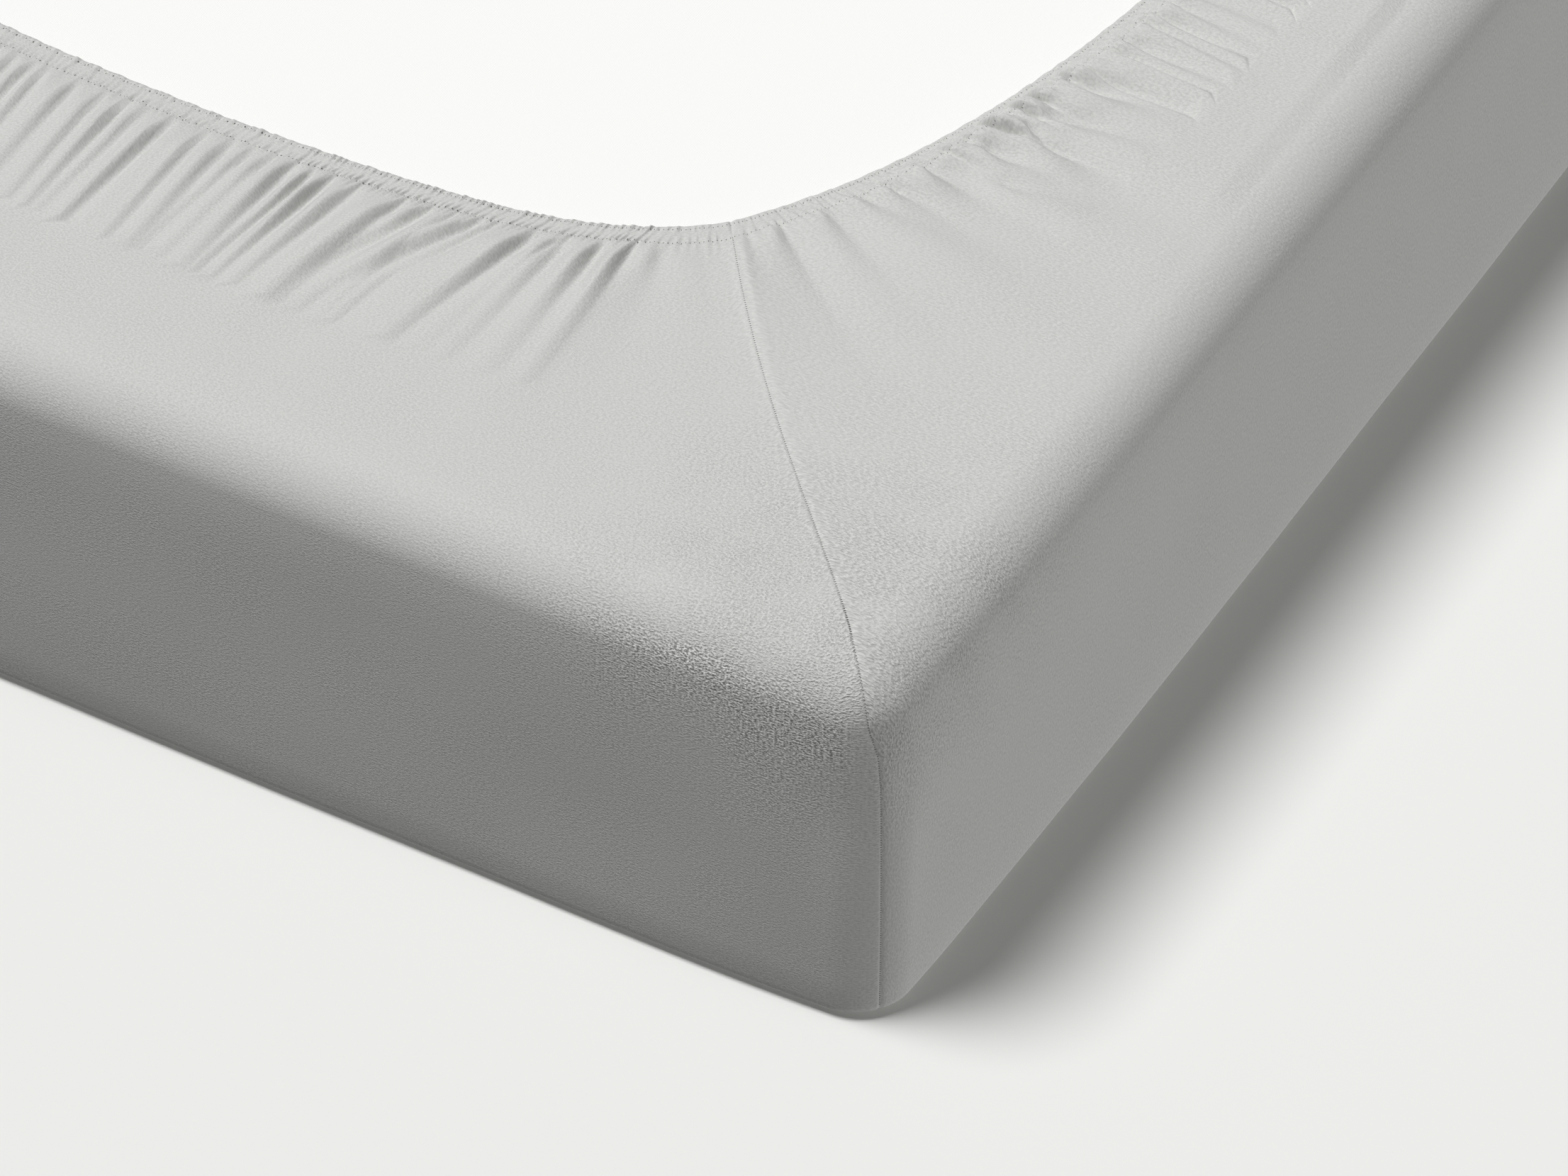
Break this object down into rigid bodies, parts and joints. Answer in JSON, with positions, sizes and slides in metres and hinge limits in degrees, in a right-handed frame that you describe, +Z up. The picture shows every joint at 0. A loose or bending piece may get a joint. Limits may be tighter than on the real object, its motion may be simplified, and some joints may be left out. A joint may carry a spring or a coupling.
{
  "type": "fitted sheet on mattress",
  "caption": "Jersey fitted sheet over a single mattress lying underside up: elastic hem gathered in a lap round the oval opening, mitred corner seams.",
  "frame": {"origin": "on the floor under the middle of the mattress", "axes": "+Y along the mattress's length, +X across it, +Z up, towards the sheet's gathered opening"},
  "size_m": [0.9, 2, 0.2048],
  "materials": {
    "sheet": "matt light grey cotton jersey",
    "mattress_cover": "matt white cover"
  },
  "bodies": {
    "root": {"fitted_sheet": "sheet", "mattress": "mattress_cover"}
  },
  "joints": []
}
